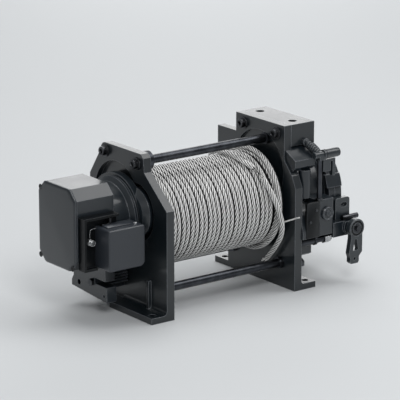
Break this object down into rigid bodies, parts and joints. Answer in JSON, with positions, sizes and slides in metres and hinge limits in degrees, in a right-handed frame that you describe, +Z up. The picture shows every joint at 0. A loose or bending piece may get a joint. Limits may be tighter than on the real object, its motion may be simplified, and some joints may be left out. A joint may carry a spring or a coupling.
{
  "type": "electric winch",
  "caption": "Electric winch: dark painted end plates carry a drum wound with wire rope, a boxy motor on one side, a gearbox with clutch linkage on the other.",
  "frame": {"origin": "floor level, midway between the two front foot bolts", "axes": "+X along the drum axis towards the gearbox, +Y from the front to the back, +Z up"},
  "size_m": [0.501, 0.2305, 0.264],
  "materials": {
    "graphite_paint": "satin",
    "dark_steel": "blackened",
    "bright_steel": "zinc plated",
    "zinc_rope": "galvanised wire",
    "lid_plastic": "matte"
  },
  "bodies": {
    "frame": {"left_end_plate": "graphite_paint", "right_end_plate": "graphite_paint", "top_mount_block": "graphite_paint", "block_screws": "dark_steel", "left_plate_screws": "dark_steel", "right_plate_screw": "dark_steel", "motor_housing": "graphite_paint", "motor_end_cover": "graphite_paint", "gear_bulge": "graphite_paint", "terminal_tray": "graphite_paint", "terminal_lid": "lid_plastic", "terminal_post": "bright_steel", "cable_clip": "dark_steel", "motor_bracket": "graphite_paint", "bracket_bolt": "dark_steel", "upper_tie_bar": "dark_steel", "lower_front_tie_bar": "dark_steel", "lower_rear_tie_bar": "dark_steel", "gearbox_case": "graphite_paint", "gearbox_end_cap": "graphite_paint", "clutch_saddle": "graphite_paint", "clutch_box": "graphite_paint", "clutch_dial": "graphite_paint", "clutch_ear": "graphite_paint", "ear_boss": "graphite_paint", "spring_link": "dark_steel", "front_rod": "bright_steel", "clutch_fork": "dark_steel", "clutch_grip": "graphite_paint", "crank_housing": "graphite_paint", "crank_lug": "graphite_paint", "stop_pin": "dark_steel", "drain_fitting": "bright_steel", "fitting_nut": "bright_steel"},
    "drum": {"drum_barrel": "graphite_paint", "rope_winding": "zinc_rope", "rope_tail": "zinc_rope"},
    "crank": {"crank_lever": "graphite_paint", "crank_bolt": "dark_steel"}
  },
  "joints": [
    {"name": "drum_spin", "type": "hinge", "parent": "frame", "child": "drum", "pos_m": [0, 0.09, 0.136], "axis": [1, 0, 0], "continuous": true, "deforming": ["rope_tail"]},
    {"name": "crank_swing", "type": "hinge", "parent": "frame", "child": "crank", "pos_m": [0.23, -0.0235, 0.0895], "axis": [0, 1, 0], "range_deg": [-60, 45]}
  ]
}
